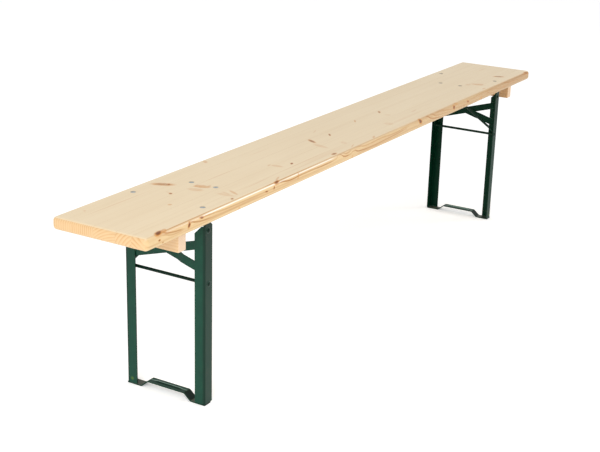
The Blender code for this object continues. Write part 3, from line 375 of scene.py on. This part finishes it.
SIDE_CURVES = (
    (
        (-1.048, 0.4890, 0.0),
        (-1.035, 0.4860, 0.9),
        (-1.015, 0.4820, 0.8),
        (-0.985, 0.4785, 0.8),
        (-0.960, 0.4775, 0.0),
        (-0.950, 0.4860, 0.0),
        (-0.935, 0.4830, 0.9),
        (-0.910, 0.4785, 0.8),
        (-0.880, 0.4755, 0.7),
        (-0.840, 0.4740, 0.4),
        (-0.700, 0.4750, 0.3),
        (-0.600, 0.4800, 0.0),
        (-0.575, 0.4850, 0.6),
        (-0.545, 0.4820, 1.0),
        (-0.510, 0.4800, 1.0),
        (-0.480, 0.4812, 0.8),
        (-0.420, 0.4810, 0.7),
        (-0.360, 0.4797, 0.9),
        (-0.320, 0.4800, 0.7),
        (-0.290, 0.4830, 0.3),
        (-0.278, 0.4890, 0.4),
        (-0.262, 0.4830, 0.9),
        (-0.248, 0.4785, 1.0),
        (-0.232, 0.4772, 0.9),
        (-0.212, 0.4795, 0.4),
        (-0.196, 0.4825, 0.5),
        (-0.180, 0.4780, 0.9),
        (-0.150, 0.4745, 0.9),
        (-0.100, 0.4732, 0.7),
        (0.000, 0.4748, 0.7),
        (0.060, 0.4765, 0.6),
        (0.110, 0.4795, 0.4),
        (0.150, 0.4840, 0.0),
        (0.240, 0.4890, 0.0),
        (0.256, 0.4885, 0.7),
        (0.272, 0.4820, 1.0),
        (0.300, 0.4742, 0.9),
        (0.340, 0.4695, 0.7),
        (0.390, 0.4655, 0.4),
        (0.480, 0.4660, 0.0),
        (0.690, 0.4790, 0.0),
        (0.740, 0.4735, 0.4),
        (0.800, 0.4685, 0.3),
        (0.830, 0.4890, 0.0),
        (0.870, 0.4860, 0.5),
        (0.920, 0.4810, 0.5),
        (1.000, 0.4780, 0.3),
        (1.080, 0.4770, 0.2),
    ),
    (
        (-1.060, 0.4850, 0.0),
        (-1.030, 0.4810, 0.5),
        (-0.980, 0.4745, 0.3),
        (-0.930, 0.4870, 0.0),
        (-0.890, 0.4845, 0.7),
        (-0.850, 0.4825, 0.5),
        (-0.780, 0.4795, 0.5),
        (-0.650, 0.4790, 0.3),
        (-0.560, 0.4765, 0.1),
        (-0.400, 0.4750, 0.1),
        (-0.290, 0.4890, 0.0),
        (-0.255, 0.4885, 0.5),
        (-0.235, 0.4840, 0.6),
        (-0.200, 0.4880, 0.2),
        (-0.160, 0.4870, 0.5),
        (-0.120, 0.4825, 0.5),
        (-0.040, 0.4840, 0.5),
        (0.040, 0.4812, 0.5),
        (0.110, 0.4840, 0.3),
        (0.180, 0.4880, 0.0),
        (0.270, 0.4890, 0.0),
        (0.292, 0.4880, 0.5),
        (0.312, 0.4812, 0.7),
        (0.345, 0.4765, 0.5),
        (0.400, 0.4740, 0.4),
        (0.440, 0.4720, 0.0),
        (0.700, 0.4850, 0.3),
        (0.780, 0.4800, 0.3),
        (0.880, 0.4735, 0.2),
        (1.020, 0.4880, 0.0),
        (1.040, 0.4870, 0.7),
        (1.055, 0.4830, 0.6),
        (1.075, 0.4800, 0.0),
    ),
    (
        (-1.020, 0.4700, 0.2),
        (-0.900, 0.4705, 0.3),
        (-0.700, 0.4720, 0.4),
        (-0.560, 0.4705, 0.3),
        (-0.450, 0.4690, 0.1),
        (-0.200, 0.4710, 0.1),
        (-0.150, 0.4700, 0.4),
        (0.000, 0.4700, 0.4),
        (0.130, 0.4720, 0.2),
        (0.300, 0.4800, 0.0),
        (0.340, 0.4865, 0.4),
        (0.390, 0.4815, 0.4),
        (0.520, 0.4720, 0.4),
        (0.640, 0.4700, 0.3),
        (0.760, 0.4780, 0.2),
        (1.080, 0.4720, 0.2),
    ),
)
EDGE_SHADES = (
    (-1.080, 0.3),
    (-1.000, 0.8),
    (-0.660, 0.5),
    (-0.590, 0.9),
    (-0.500, 0.8),
    (-0.290, 0.5),
    (-0.050, 0.5),
    (0.190, 0.2),
    (0.260, 0.4),
    (1.100, 0.1),
)
# Where along the seat the painted highlight on the upper edge is strong
ARRIS_HIGHLIGHT_SHARES = (
    (-1.060, 0.0),
    (-1.000, 0.2),
    (-0.920, 0.2),
    (-0.860, 0.9),
    (-0.600, 0.9),
    (-0.560, 0.5),
    (-0.500, 0.8),
    (-0.330, 0.8),
    (-0.290, 0.1),
    (1.100, 0.0),
)
HEARTS = ((-0.060, 0.405), (-0.160, 0.395), (-0.062, 0.380), (0.190, 0.468), (0.010, 0.476))
PITCHES = (0.0090, 0.0078, 0.0062, 0.0058, 0.0066)
BATTEN_HEART = (0.03, 0.02)
BATTEN_PITCH = 0.0052
KNOT_REACH = 0.01
LINE_REACH = 0.003

for i, (low, high) in enumerate(zip(STAVE_EDGES, STAVE_EDGES[1:])):
    here = [knot for knot in TOP_KNOTS if low - KNOT_REACH < knot[0][1] < high + KNOT_REACH]
    lines = [line for line in TOP_LINES if low - LINE_REACH < line[0][1] < high + LINE_REACH]
    curves, shades = (), ()
    if i == 0:
        here += SIDE_KNOTS
        curves, shades = SIDE_CURVES, EDGE_SHADES
    joints = [edge for edge in (low, high) if abs(edge) < HALF_SEAT_WIDTH - 0.001]
    marks = (here, lines, joints, curves, shades)
    made = wood(f"stave_wood_{i + 1}", HEARTS[i], PITCHES[i], 3.7 * i + 1.3, PALE, *marks)
    dress([f"seat_stave_{i + 1}"], made)

for end_name, seed, tones in (("near", 21.0, BATTEN), ("far", 27.0, FAR_BATTEN_SHADED)):
    low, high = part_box(f"{end_name}_batten")
    heart = ((low.x + high.x) / 2 + BATTEN_HEART[0], low.z - BATTEN_HEART[1])
    made = wood(f"{end_name}_batten_wood", heart, BATTEN_PITCH, seed, tones, along="Y")
    dress([f"{end_name}_batten"], made)


# Paint and metal


# Painted shade along the uprights' bends
BEND_SHADE_GREEN = linear("032116")
FLANK_SHADE_GREEN = linear("021D12")
INNER_SHADE_GREEN = linear("002112")
EDGE_WEAR_AND_HIGHLIGHT_GREEN = linear("4C6D5F")
RAMP_SHADE_GREEN = linear("03160E")
CREST_HIGHLIGHT_GREEN = linear("86A296")
DUST = linear("58564C")
FLECK = linear("5A7A22")
INNER_SHADE = 0.85
BEND_SHADE = 0.62
EDGE_WEAR_AND_HIGHLIGHT_SHARE = 0.25
GROOVE_SHADE_SHARE = 0.6
RAMP_SHADE_SHARE = 0.95
CREST_HIGHLIGHT_SHARE = 0.85
FLECK_SHARE = 0.55
EDGE_RADIUS = 0.0010
FLANK_SHADE_LOW = 0.25
FLANK_SHADE_HIGH = 0.45
CREST_PLACE = 0.8540
CREST_HEIGHT = 0.0190
GROOVE_PLACE = 0.8590
PAD_HEIGHT = 0.0040
BAND_LOW = 0.1088
BAND_HIGH = 0.1106
NEAR_FLECK = (0.8676, 0.1010, 0.0150)
FAR_FLECK = (0.8560, 0.1154, 0.0140)


def paint(name, dark, light, gloss, fleck=None, foot=False):
    """Dark green gloss paint: a little uneven, paler on sharp edges from thin paint and a painted highlight,
    with painted shade round the uprights' bends.
    """
    s = Shader(name)
    cloud = s.noise(30.0, 3.0, 0.5)
    color = s.mix(s.spread(cloud, 0.3, 0.7), linear(dark), linear(light))
    flat = s.add("SeparateXYZ", {0: s.add("TexCoord").outputs["Normal"]}).outputs
    spot = s.add("SeparateXYZ", {0: s.place}).outputs
    nx, ny, nz = [s.math("ABSOLUTE", part) for part in flat]

    # Painted shade: darker along the bends, on the side flanges towards the seat, and on the inner faces
    out_x, out_y = [s.math("ABSOLUTE", part) for part in spot[:2]]
    upright = s.spread(nz, 0.2, 0.05)
    bend = s.math("MULTIPLY", s.spread(s.math("MINIMUM", nx, ny), 0.15, 0.35), upright)
    band = s.math("MULTIPLY", s.spread(out_y, BAND_LOW, BAND_HIGH), s.spread(nx, 0.5, 0.8))
    painted_bend_shade = s.math("MULTIPLY", s.math("MAXIMUM", bend, s.math("MULTIPLY", band, upright)), BEND_SHADE)
    color = s.mix(painted_bend_shade, color, BEND_SHADE_GREEN)
    # Painted shade on the side flanges, darker towards the seat
    flank_shade = s.math("MULTIPLY", s.spread(ny, 0.6, 0.9), s.spread(spot[2], FLANK_SHADE_LOW, FLANK_SHADE_HIGH, 0.50, 0.80))
    color = s.mix(flank_shade, color, FLANK_SHADE_GREEN)
    # Painted shade on the inner faces
    inner = [s.math("MULTIPLY", flat[i], s.math("SIGN", spot[i])) for i in (0, 1)]
    inside = s.spread(s.math("MINIMUM", *inner), -0.4, -0.8)
    color = s.mix(s.math("MULTIPLY", inside, INNER_SHADE), color, INNER_SHADE_GREEN)

    # Paler sharp edges: thin, worn paint and a painted highlight where they catch light
    bevel = s.add("Bevel", {"Radius": EDGE_RADIUS}, samples=4)
    normal = s.add("NewGeometry").outputs["True Normal"]
    turned = s.add("VectorMath", {0: bevel.outputs[0], 1: normal}, operation="DOT_PRODUCT").outputs["Value"]
    edge = s.spread(turned, 0.995, 0.9)
    wear_and_highlight = s.math("MULTIPLY", edge, s.spread(s.noise(260.0, 3.0, 0.6), 0.45, 0.6))
    color = s.mix(s.math("MULTIPLY", wear_and_highlight, EDGE_WEAR_AND_HIGHLIGHT_SHARE), color, EDGE_WEAR_AND_HIGHLIGHT_GREEN)
    if foot:
        # A painted highlight along the crest, painted shade beside it and on the ramps, and dust on the flat
        # pads
        crest_highlight = s.spread(s.math("ABSOLUTE", s.math("SUBTRACT", out_x, CREST_PLACE)), 0.0030, 0.0008)
        crest_highlight = s.math("MULTIPLY", crest_highlight, s.spread(spot[2], CREST_HEIGHT, CREST_HEIGHT + 0.001))
        # Painted shade beside the crest and on the ramps
        beside = s.spread(s.math("ABSOLUTE", s.math("SUBTRACT", out_x, GROOVE_PLACE)), 0.0030, 0.0015)
        beside = s.math("MULTIPLY", beside, nz)
        ramp_shade = s.math("MULTIPLY", s.spread(ny, 0.2, 0.5), RAMP_SHADE_SHARE)
        color = s.mix(s.math("MAXIMUM", s.math("MULTIPLY", beside, GROOVE_SHADE_SHARE), ramp_shade), color, RAMP_SHADE_GREEN)
        color = s.mix(s.math("MULTIPLY", crest_highlight, CREST_HIGHLIGHT_SHARE), color, CREST_HIGHLIGHT_GREEN)
        dust = s.math("MULTIPLY", s.spread(spot[2], PAD_HEIGHT, 0.0030), s.spread(flat[2], 0.7, 0.9))
        color = s.mix(s.math("MULTIPLY", dust, s.spread(cloud, 0.3, 0.6, 0.3, 0.7)), color, DUST)
    if fleck:
        # A small yellowish fleck near the foot of the near left and far right uprights
        corner = s.add("CombineXYZ", {0: out_x, 1: out_y, 2: spot[2]}).outputs[0]
        apart = s.add("VectorMath", {0: corner, 1: fleck}, operation="DISTANCE").outputs["Value"]
        here = s.math("LESS_THAN", s.math("MULTIPLY", spot[0], spot[1]), 0.0)
        fleck = s.math("MULTIPLY", s.spread(apart, 0.0060, 0.0020), here)
        color = s.mix(s.math("MULTIPLY", fleck, FLECK_SHARE), color, FLECK)
    s.put(s.surface.inputs["Base Color"], color)
    grain = s.noise(900.0, 2.0, 0.5)
    s.put(s.surface.inputs["Roughness"], s.spread(cloud, 0.2, 0.8, 0.26, 0.38))
    s.surface.inputs["Specular IOR Level"].default_value = gloss
    s.bump(s.math("MULTIPLY_ADD", cloud, 0.5, grain), 0.08, 0.0002)
    return s.material


def metal(name, light, dark, roughness):
    """Bare or zinc-plated steel with fine turning marks and a dull film."""
    s = Shader(name)
    marks = s.noise(700.0, 3.0, 0.6, (1, 1, 0.3))
    film = s.noise(120.0, 3.0, 0.6)
    color = s.mix(s.spread(film, 0.35, 0.7), linear(light), linear(dark))
    s.put(s.surface.inputs["Base Color"], color)
    s.surface.inputs["Metallic"].default_value = 0.85
    s.surface.inputs["Specular IOR Level"].default_value = 0.4
    s.put(s.surface.inputs["Roughness"], s.spread(marks, 0.2, 0.8, roughness, roughness + 0.15))
    s.bump(marks, 0.15, 0.0001)
    return s.material


GREEN = paint("green_gloss_paint", "063C2D", "094231", 0.20, fleck=NEAR_FLECK)
# Painted shade: a darker copy of the green paint for the rods, rivets, brackets, struts and catch plates
SHADED_GREEN = paint("shaded_green_paint", "042017", "06271C", 0.12)
# Painted shade: the far end's copy of the green paint, with less gloss so that it looks darker
FAR_SHADED_GREEN = paint("far_shaded_green_paint", "08382A", "0B3E2E", 0.07, fleck=FAR_FLECK)
FOOT_GREEN = paint("foot_green_paint", "053022", "083828", 0.14, foot=True)
WELD_GREEN = paint("weld_green_paint", "0A3B2B", "1A5A46", 0.35)
# A darker, browner copy of the zinc for the far end's bolts, nuts, screws and latch pins
FAR_ZINC = metal("dulled_zinc", "A39A8C", "857A6C", 0.45)
ZINC = metal("zinc_plated_steel", "B9BFC0", "8F989B", 0.34)
SPRING = metal("blank_spring_steel", "8F9193", "6C6F72", 0.3)

painted, far_shaded, feet, shaded, plated, dulled, sprung = [], [], [], [], [], [], []
for name in NODES:
    if "stave" in name or name.endswith("_batten"):
        continue
    if name.endswith(("_bolt", "_nut", "_screw", "_latch_pin")):
        (dulled if name.startswith("far") else plated).append(name)
    elif "latch" in name:
        sprung.append(name)
    elif name.endswith("_foot_strip"):
        feet.append(name)
    elif name.endswith(("_rod", "_rivet", "_bracket", "_strut", "_catch_plate")):
        shaded.append(name)
    else:
        (far_shaded if name.startswith("far") else painted).append(name)
dress(painted, GREEN)
dress(far_shaded, FAR_SHADED_GREEN)
dress(feet, FOOT_GREEN)
dress(shaded, SHADED_GREEN)
dress(plated, ZINC)
dress(dulled, FAR_ZINC)
dress(sprung, SPRING)


def glue_finish():
    """Dried wood glue: honey-coloured, with paler and darker stretches along the joint."""
    s = Shader("dried_wood_glue")
    patch = s.noise(1.0, 3.0, 0.6, (9.0, 40.0, 40.0))
    color = s.mix(s.spread(patch, 0.35, 0.65), linear("E2CBA4"), linear("C9AA80"))
    s.put(s.surface.inputs["Base Color"], color)
    s.put(s.surface.inputs["Roughness"], s.spread(patch, 0.3, 0.7, 0.35, 0.5))
    s.bump(patch, 0.2, 0.0002)
    return s.material


GLUE_FINISH = glue_finish()


# Small pieces and their sizes


WELD_STEP = 0.0006
WELD_RIPPLE = 0.0030
WELD_RIPPLE_DEPTH = 0.16
WELD_END_SHARE = 0.45
WELD_TAPER = 6
WELD_SIDES = 10
RING_STEPS = 28
RING_CHAMFER = 0.35
THREAD_PITCH = 0.0010
THREAD_STEPS = 20
THREAD_DEPTH = 0.00028
THREAD_ROOT = 0.00010
THREAD_START = 0.0002
FLANGE_INSIDE = 0.8646
FLANGE_EDGE = 0.0885
BRACE_END = 0.1096
BRACE_HEIGHT = 0.3737
BRACE_RISE = 0.0333 / 0.1124
BRACE_HALF_WIDTH = 0.0105
SIDE_INSIDE = 0.1124
SIDE_REACH = 0.8415
FOOT_WELD_HEIGHT = 0.0042
FOOT_WELD_STAND = 0.0004
BRACE_WELD_STAND = 0.0010
WELD_END_GAP = 0.0010
WELD_RADIUS = 0.0016
HEAD_SEAT = 0.11535
RIVET_PLACE = (0.8535, 0.4380)
ROD_PLACE = (0.8511, 0.3063)
RIVET_WASHER = 0.0076
ROD_WASHER = 0.0072
WASHER_HOLE = 0.0055
WASHER_STEEL = 0.0009
BOLT_RADIUS = 0.0030


def add_piece(name, bm, material, body, smooth=True):
    mesh = bpy.data.meshes.new(name)
    bmesh.ops.recalc_face_normals(bm, faces=bm.faces)
    bm.to_mesh(mesh)
    bm.free()
    mesh.materials.append(material)
    if smooth:
        mesh.shade_smooth()
    made = bpy.data.objects.new(name, mesh)
    bpy.context.scene.collection.objects.link(made)
    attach(made, body)
    return made


def joint_line(name, low_name, high_name):
    """Glue that fills the narrow joint between two staves, just below the board's faces."""
    low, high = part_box(low_name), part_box(high_name)
    near, far = low[1].y - GLUE_OVERLAP, high[0].y + GLUE_OVERLAP
    points = {}
    for vertex in NODES[low_name].data.vertices:
        if abs(vertex.co.y - low[1].y) < 0.0001:
            points[(round(vertex.co.x, 5), round(vertex.co.z, 5))] = True
    middle = Vector((0.0, (SEAT_TOP + SEAT_UNDERSIDE) / 2))
    rim = [Vector(point) for point in points]
    rim = [point for point in rim if abs(point.x) > HALF_SEAT_LENGTH - SEAT_END_REACH]
    rim.sort(key=lambda point: math.atan2(point.y - middle.y, point.x / 100))
    bm = bmesh.new()
    rings = []
    for side in (near, far):
        ring = []
        for point in rim:
            x = point.x - math.copysign(GLUE_SINK, point.x)
            z = middle.y + (point.y - middle.y) * (1 - GLUE_SINK / (SEAT_TOP - middle.y))
            ring.append(bm.verts.new((x, side, z)))
        rings.append(ring)
    bm.faces.new(rings[0])
    bm.faces.new(rings[1][::-1])
    for i in range(len(rim)):
        j = (i + 1) % len(rim)
        bm.faces.new((rings[0][i], rings[0][j], rings[1][j], rings[1][i]))
    return add_piece(name, bm, GLUE_FINISH, "seat", smooth=False)


def weld_bead(name, start, end, radius, body):
    """A weld bead: overlapping ripples along a line, tapered at both ends."""
    start, end = Vector(start), Vector(end)
    along = (end - start).normalized()
    side = along.orthogonal().normalized()
    up = along.cross(side)
    length = (end - start).length
    steps = max(6, round(length / WELD_STEP))
    bm = bmesh.new()
    rings = []
    for i in range(steps + 1):
        share = i / steps
        taper = min(1.0, WELD_END_SHARE + WELD_TAPER * min(share, 1 - share))
        ripple = 1.0 + WELD_RIPPLE_DEPTH * math.cos(share * length / WELD_RIPPLE * 2 * math.pi)
        r = radius * ripple * taper
        center = start + along * (length * share)
        turns = [2 * math.pi * k / WELD_SIDES for k in range(WELD_SIDES)]
        rings.append([bm.verts.new(center + side * (r * math.cos(t)) + up * (r * math.sin(t))) for t in turns])
    for low, high in zip(rings, rings[1:]):
        for k in range(WELD_SIDES):
            j = (k + 1) % WELD_SIDES
            bm.faces.new((low[k], low[j], high[j], high[k]))
    bm.faces.new(rings[0][::-1])
    bm.faces.new(rings[-1])
    return add_piece(name, bm, WELD_GREEN, body)


def turned_ring(name, center, outer, inner, low, high, body):
    """A chamfered ring round a line along Y, from low to high along it."""
    lip = (high - low) * RING_CHAMFER
    edge = ((outer - lip, low), (outer, low + lip), (outer, high - lip), (outer - lip, high))
    profile = ((inner, low), *edge, (inner, high))
    bm = bmesh.new()
    rings = []
    for k in range(RING_STEPS):
        turn = 2 * math.pi * k / RING_STEPS
        ring = []
        for radius, reach in profile:
            offset = (radius * math.cos(turn), reach, radius * math.sin(turn))
            ring.append(bm.verts.new(Vector(center) + Vector(offset)))
        rings.append(ring)
    for k in range(RING_STEPS):
        here, there = rings[k], rings[(k + 1) % RING_STEPS]
        for i in range(len(profile)):
            j = (i + 1) % len(profile)
            bm.faces.new((here[i], here[j], there[j], there[i]))
    return add_piece(name, bm, WELD_GREEN, body, smooth=False)


def thread(name, center, radius, low, high, body):
    """The turns of a screw thread round the end of a bolt."""
    bm = bmesh.new()
    turns = (high - low) / THREAD_PITCH
    steps = round(turns * THREAD_STEPS)
    profile = ((-THREAD_ROOT, -0.5), (THREAD_DEPTH, -0.12), (THREAD_DEPTH, 0.12), (-THREAD_ROOT, 0.5))
    rows = []
    for i in range(steps + 1):
        turn = 2 * math.pi * i / THREAD_STEPS
        height = low + (high - low) * i / steps
        row = []
        for out, reach in profile:
            r = radius + out
            z = min(max(height + reach * THREAD_PITCH * 0.9, low), high)
            row.append(bm.verts.new((center[0] + r * math.cos(turn), center[1] + r * math.sin(turn), z)))
        rows.append(row)
    for here, there in zip(rows, rows[1:]):
        for i in range(3):
            bm.faces.new((here[i], here[i + 1], there[i + 1], there[i]))
    return add_piece(name, bm, ZINC, body, smooth=False)


def leg_trim(end_name, way):
    """Welds, washers and threads of one end: way is -1 for the near end and 1 for the far end."""
    leg = f"leg_{end_name}"
    for side_name, hand in (("left", 1), ("right", -1)):
        tag = f"{end_name}_{side_name}"
        for brace_name, sign in (("outer", -1), ("inner", 1)):
            for edge_name, shift in (("upper", BRACE_HALF_WIDTH), ("lower", -BRACE_HALF_WIDTH)):
                ends = []
                for reach in (FLANGE_EDGE, BRACE_END):
                    height = BRACE_HEIGHT + sign * hand * BRACE_RISE * reach + shift * math.hypot(1, BRACE_RISE)
                    ends.append((way * (FLANGE_INSIDE - BRACE_WELD_STAND), hand * reach, height))
                weld_bead(f"{tag}_{brace_name}_brace_weld_{edge_name}", *ends, WELD_RADIUS, leg)
        inside = way * (FLANGE_INSIDE - FOOT_WELD_STAND)
        weld_bead(
            f"{tag}_foot_weld_end",
            (inside, hand * FLANGE_EDGE, FOOT_WELD_HEIGHT),
            (inside, hand * (SIDE_INSIDE - WELD_END_GAP), FOOT_WELD_HEIGHT),
            WELD_RADIUS,
            leg,
        )
        weld_bead(
            f"{tag}_foot_weld_side",
            (way * SIDE_REACH, hand * (SIDE_INSIDE - FOOT_WELD_STAND), FOOT_WELD_HEIGHT),
            (way * (FLANGE_INSIDE - WELD_END_GAP), hand * (SIDE_INSIDE - FOOT_WELD_STAND), FOOT_WELD_HEIGHT),
            WELD_RADIUS,
            leg,
        )
        washer_ends = sorted((hand * (HEAD_SEAT + WASHER_STEEL), hand * HEAD_SEAT))
        washers = (("pivot", RIVET_PLACE, RIVET_WASHER), ("rod", ROD_PLACE, ROD_WASHER))
        for part_name, (out, up), size in washers:
            center = (way * out, 0.0, up)
            turned_ring(f"{tag}_{part_name}_washer", center, size, WASHER_HOLE, *washer_ends, leg)
        for bolt_name in ("hinge", "catch"):
            low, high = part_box(f"{tag}_{bolt_name}_bolt")
            nut_low, nut_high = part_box(f"{tag}_{bolt_name}_nut")
            middle = ((nut_low.x + nut_high.x) / 2, (nut_low.y + nut_high.y) / 2)
            thread(f"{tag}_{bolt_name}_thread", middle, BOLT_RADIUS, low.z + THREAD_START, nut_low.z, "seat")


leg_trim("near", -1)
leg_trim("far", 1)


# Floor, light and camera


# Place, target, size and power of each soft light, and the brightness of the room
FRONT_LIGHT = ((-4.0, -1.6, 3.0), (-0.2, 0, 0.4), (2.5, 2.0), 96.0)
BACK_LIGHT = ((3.4, -2.7, 1.97), (-0.65, -0.13, 0.49), (1.4, 0.20), 27.0)
WORLD_LIGHT = 0.76
FLOOR_SIZE = 60
FLOOR_SINK = 0.0002
FLOOR_GLOW = 0.27
SENSOR_WIDTH = 36.0


def floor():
    """A pale floor, a hair below the feet."""
    bm = bmesh.new()
    bmesh.ops.create_grid(bm, x_segments=1, y_segments=1, size=FLOOR_SIZE)
    mesh = bpy.data.meshes.new("floor")
    bm.to_mesh(mesh)
    bm.free()
    s = Shader("pale_floor")
    s.surface.inputs["Base Color"].default_value = (0.94, 0.94, 0.94, 1.0)
    s.surface.inputs["Roughness"].default_value = 0.9
    s.surface.inputs["Specular IOR Level"].default_value = 0.1
    s.surface.inputs["Emission Color"].default_value = (1.0, 1.0, 1.0, 1.0)
    s.surface.inputs["Emission Strength"].default_value = FLOOR_GLOW
    mesh.materials.append(s.material)
    made = bpy.data.objects.new("floor", mesh)
    made.location.z = -FLOOR_SINK
    bpy.context.scene.collection.objects.link(made)


def area_light(name, place, target, size, power):
    data = bpy.data.lights.new(name, "AREA")
    data.shape = "RECTANGLE"
    data.size, data.size_y = size
    data.energy = power
    made = bpy.data.objects.new(name, data)
    made.location = place
    made.rotation_euler = (Vector(target) - Vector(place)).to_track_quat("-Z", "Y").to_euler()
    bpy.context.scene.collection.objects.link(made)


def studio():
    """An even white room with a large soft light before the bench and a lower one beyond its far end."""
    world = bpy.data.worlds.new("studio")
    world.use_nodes = True
    background = world.node_tree.nodes["Background"]
    background.inputs["Color"].default_value = (1.0, 1.0, 1.0, 1.0)
    tree = world.node_tree
    seen = tree.nodes.new("ShaderNodeLightPath").outputs["Is Camera Ray"]
    strength = tree.nodes.new("ShaderNodeMapRange")
    strength.inputs["To Min"].default_value = WORLD_LIGHT
    strength.inputs["To Max"].default_value = 1.0
    tree.links.new(seen, strength.inputs["Value"])
    tree.links.new(strength.outputs["Result"], background.inputs["Strength"])
    bpy.context.scene.world = world
    area_light("softbox_front", *FRONT_LIGHT)
    area_light("softbox_back", *BACK_LIGHT)


def camera():
    """The camera at the photograph's angle, turned a little about its own line of sight."""
    data = bpy.data.cameras.new("camera")
    data.lens = CAMERA_LENS
    data.sensor_width = SENSOR_WIDTH
    data.clip_start, data.clip_end = 0.05, 200.0
    back = Vector(
        (
            math.sin(CAMERA_AZIMUTH) * math.cos(CAMERA_ELEVATION),
            -math.cos(CAMERA_AZIMUTH) * math.cos(CAMERA_ELEVATION),
            math.sin(CAMERA_ELEVATION),
        )
    )
    right = (-back).cross(Vector((0, 0, 1))).normalized()
    up = right.cross(-back)
    turned_right = right * math.cos(CAMERA_ROLL) + up * math.sin(CAMERA_ROLL)
    turned_up = up * math.cos(CAMERA_ROLL) - right * math.sin(CAMERA_ROLL)
    axes = Matrix((turned_right, turned_up, back)).transposed()
    made = bpy.data.objects.new("camera", data)
    made.matrix_world = Matrix.Translation(CAMERA_PLACE) @ axes.to_4x4()
    bpy.context.scene.collection.objects.link(made)
    bpy.context.scene.camera = made


for i in range(1, len(HEARTS)):
    joint_line(f"glue_joint_{i}", f"seat_stave_{i}", f"seat_stave_{i + 1}")

floor()
studio()
camera()
bpy.context.scene.view_settings.view_transform = "Standard"
